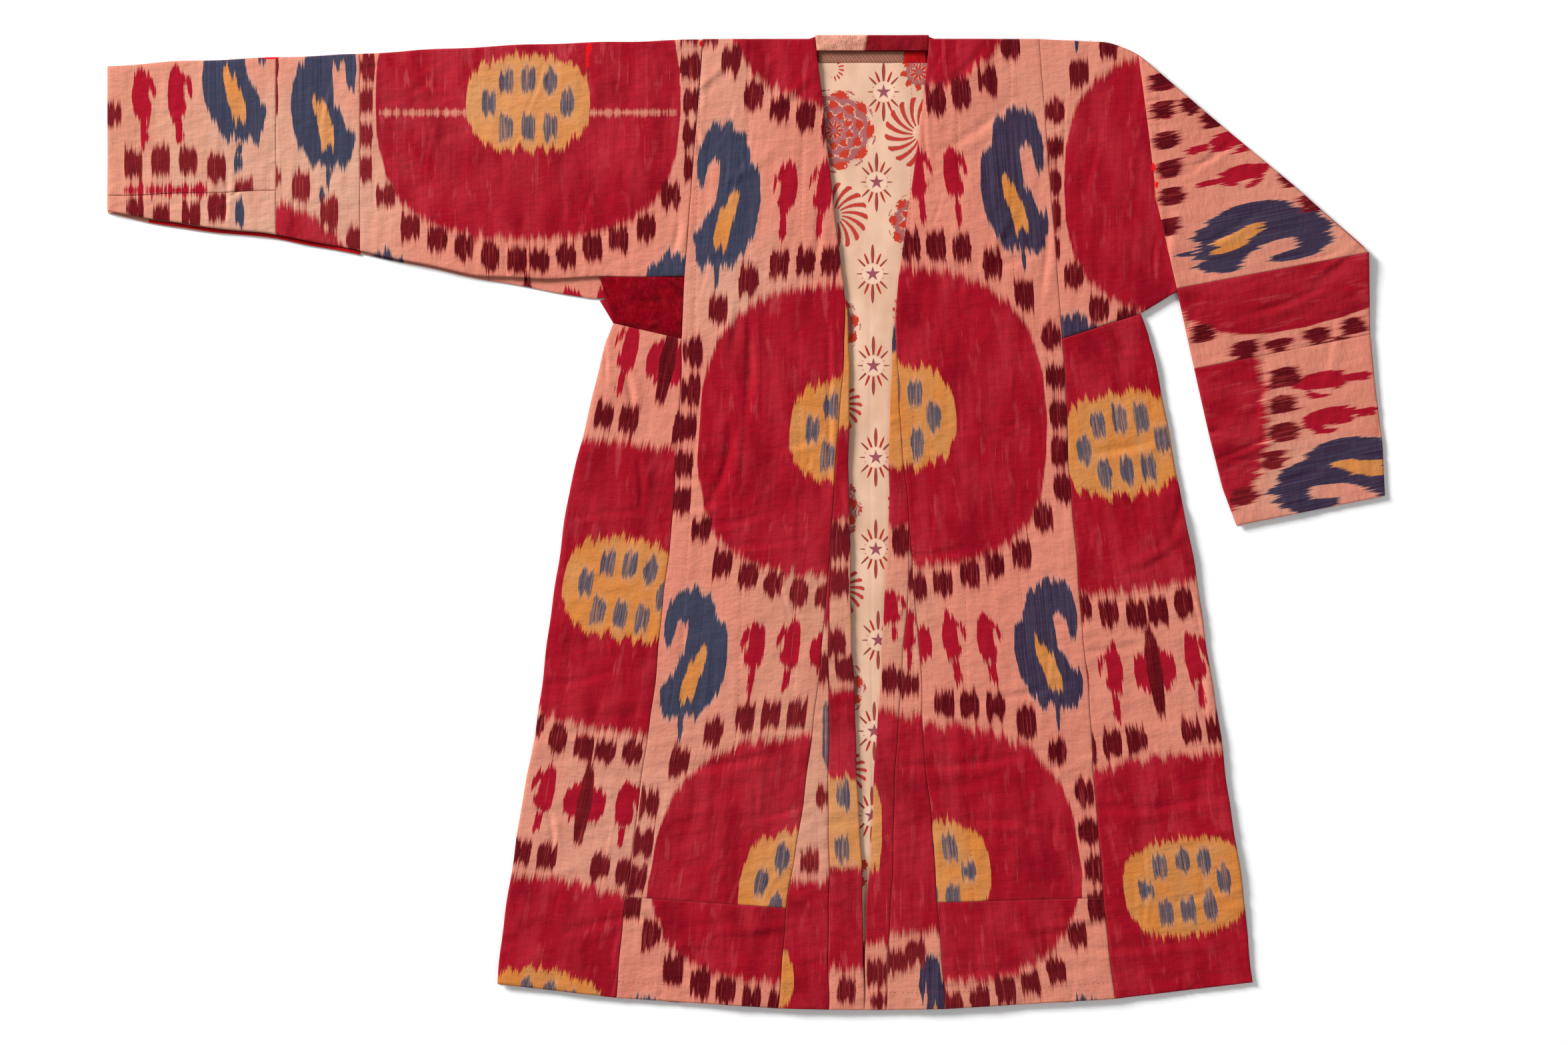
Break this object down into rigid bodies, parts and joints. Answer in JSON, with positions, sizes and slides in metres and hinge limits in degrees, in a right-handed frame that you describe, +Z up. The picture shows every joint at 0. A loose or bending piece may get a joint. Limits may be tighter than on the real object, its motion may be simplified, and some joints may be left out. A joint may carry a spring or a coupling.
{
  "type": "chapan robe",
  "caption": "Open-front ikat robe laid flat, with side and front gores, a pieced hem, and long sleeves, one folded over on a slant.",
  "frame": {"origin": "centre of the robe's outline, on the surface that it lies on", "axes": "+X to the right of the laid robe as seen from above with its neck away, +Y towards the neck, +Z up from the surface"},
  "size_m": [1.6277, 1.2417, 0.0089],
  "materials": {
    "ikat": "woven silk and cotton ikat, soft sheen, worn and faded",
    "gusset": "plain dark red cotton, matt",
    "band": "narrow maroon and pink band, frayed at its lower edge",
    "facing": "brown cotton with slanting coloured stripes",
    "lining_red": "bright red cotton",
    "lining_cream": "cream printed cotton with small red rayed motifs"
  },
  "bodies": {
    "root": {"back_body": "ikat", "back_gore_left": "ikat", "back_gore_right": "ikat", "front_body_left": "ikat", "front_body_right": "ikat", "front_gore_left": "ikat", "front_gore_right": "ikat", "front_hem_left": "ikat", "front_hem_right": "ikat", "front_strip_left": "ikat", "front_strip_right": "ikat", "gusset_left_back": "gusset", "gusset_left_front": "gusset", "lining_back": "lining_cream", "neck_band": "band", "neck_facing": "facing", "neck_lining": "lining_red", "side_gore_left": "ikat", "side_gore_right": "ikat", "sleeve_left_band_back": "ikat", "sleeve_left_band_front": "ikat", "sleeve_left_cuff_back": "ikat", "sleeve_left_cuff_front": "ikat", "sleeve_left_cuff_strip": "ikat", "sleeve_left_lining": "lining_red", "sleeve_left_main_back": "ikat", "sleeve_left_main_front": "ikat", "sleeve_right_band_back": "ikat", "sleeve_right_band_front": "ikat", "sleeve_right_cuff_back": "ikat", "sleeve_right_cuff_front": "ikat", "sleeve_right_main_back": "ikat", "sleeve_right_main_front": "ikat", "sleeve_right_under_back": "ikat", "sleeve_right_under_front": "ikat"}
  },
  "joints": []
}
